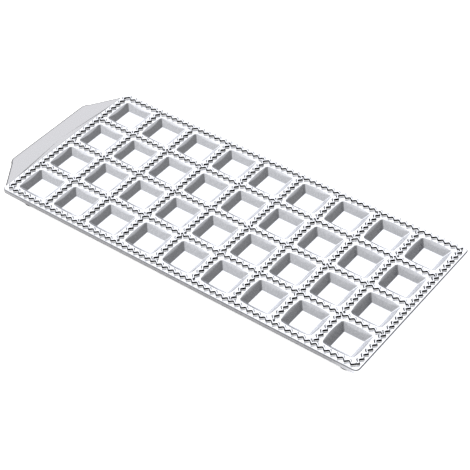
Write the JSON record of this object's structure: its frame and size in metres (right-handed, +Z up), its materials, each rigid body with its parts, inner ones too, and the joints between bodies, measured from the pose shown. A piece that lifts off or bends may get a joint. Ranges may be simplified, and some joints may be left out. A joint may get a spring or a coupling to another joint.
{
  "type": "ravioli mold",
  "caption": "Long cast tray of square wells, each framed by a raised zigzag cutting ridge, with a flat grip at one end and round rubber feet.",
  "frame": {"origin": "centre of the footprint, on the surface that the feet stand on", "axes": "+X along the tray, away from the grip; +Z up, out of the wells"},
  "size_m": [0.324, 0.1404, 0.016],
  "materials": {
    "cast_aluminium": "satin as-cast",
    "foot_rubber": "matt"
  },
  "bodies": {
    "root": {"cast_tray": "cast_aluminium", "foot_grip_front": "foot_rubber", "foot_grip_back": "foot_rubber", "foot_end_front": "foot_rubber", "foot_end_back": "foot_rubber"}
  },
  "joints": []
}
